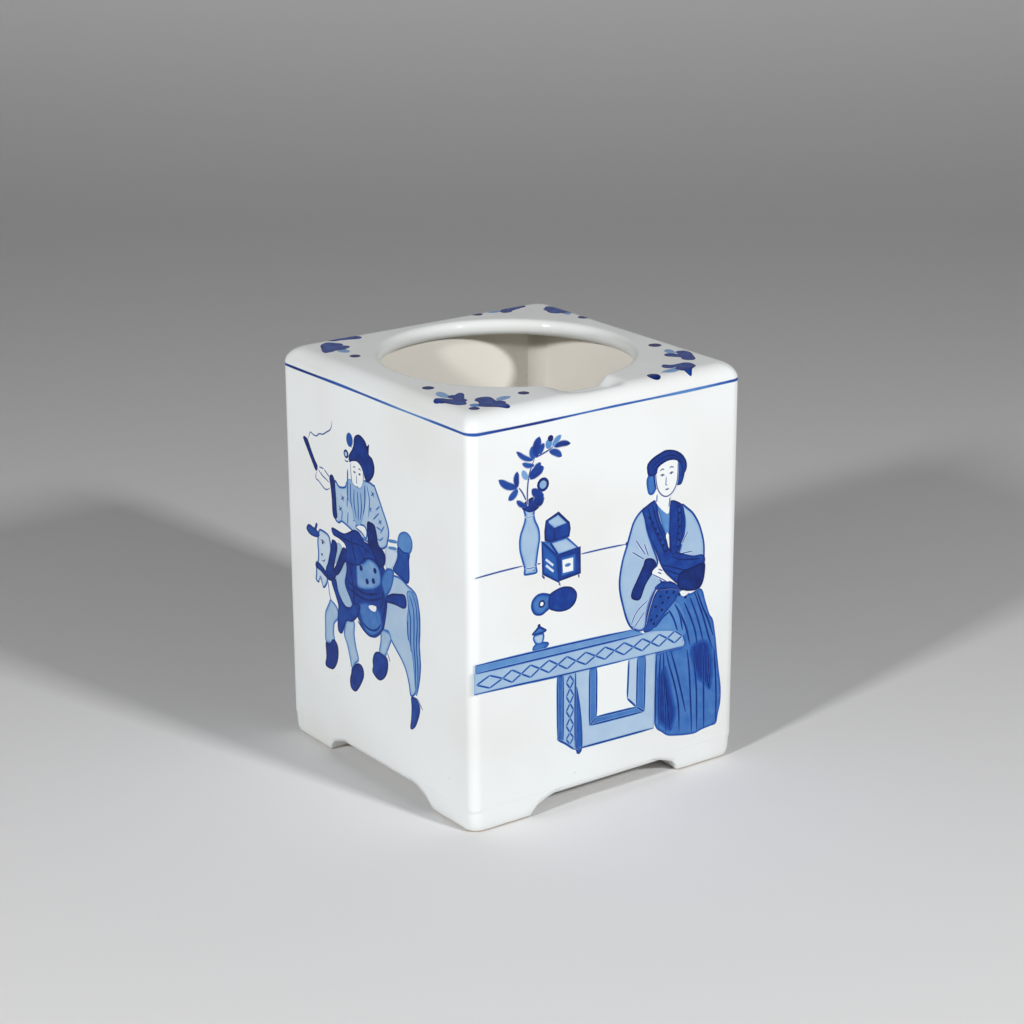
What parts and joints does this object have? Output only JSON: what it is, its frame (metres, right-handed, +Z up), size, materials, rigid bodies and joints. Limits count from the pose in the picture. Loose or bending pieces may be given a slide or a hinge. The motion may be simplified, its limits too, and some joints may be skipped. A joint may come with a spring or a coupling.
{
  "type": "brush holder pot",
  "caption": "Square porcelain brush holder with a flat closed top, a round rolled mouth, a brush rest in the front rim and low bracket feet.",
  "frame": {"origin": "middle of the footprint, on the surface that the feet stand on", "axes": "+Z up, -Y out of the front wall, the one below the brush rest, +X to the right as seen from the front"},
  "size_m": [0.09, 0.09, 0.1145],
  "materials": {
    "white_glaze": "gloss",
    "foot_glaze": "gloss, bare clay where the foot stands",
    "cobalt_line": "underglaze cobalt line under gloss glaze",
    "cobalt_fill": "underglaze cobalt, strong wash under gloss glaze",
    "cobalt_wash": "underglaze cobalt, thin wash under gloss glaze"
  },
  "bodies": {
    "root": {"front_wall": "white_glaze", "right_wall": "white_glaze", "back_wall": "white_glaze", "left_wall": "white_glaze", "top_plate": "white_glaze", "base_plate": "white_glaze", "foot_front_left": "foot_glaze", "foot_front_right": "foot_glaze", "foot_back_right": "foot_glaze", "foot_back_left": "foot_glaze", "corner_coil_front_left": "white_glaze", "corner_coil_front_right": "white_glaze", "corner_coil_back_right": "white_glaze", "corner_coil_back_left": "white_glaze", "base_coil_front": "white_glaze", "base_coil_right": "white_glaze", "base_coil_back": "white_glaze", "base_coil_left": "white_glaze"}
  },
  "joints": []
}
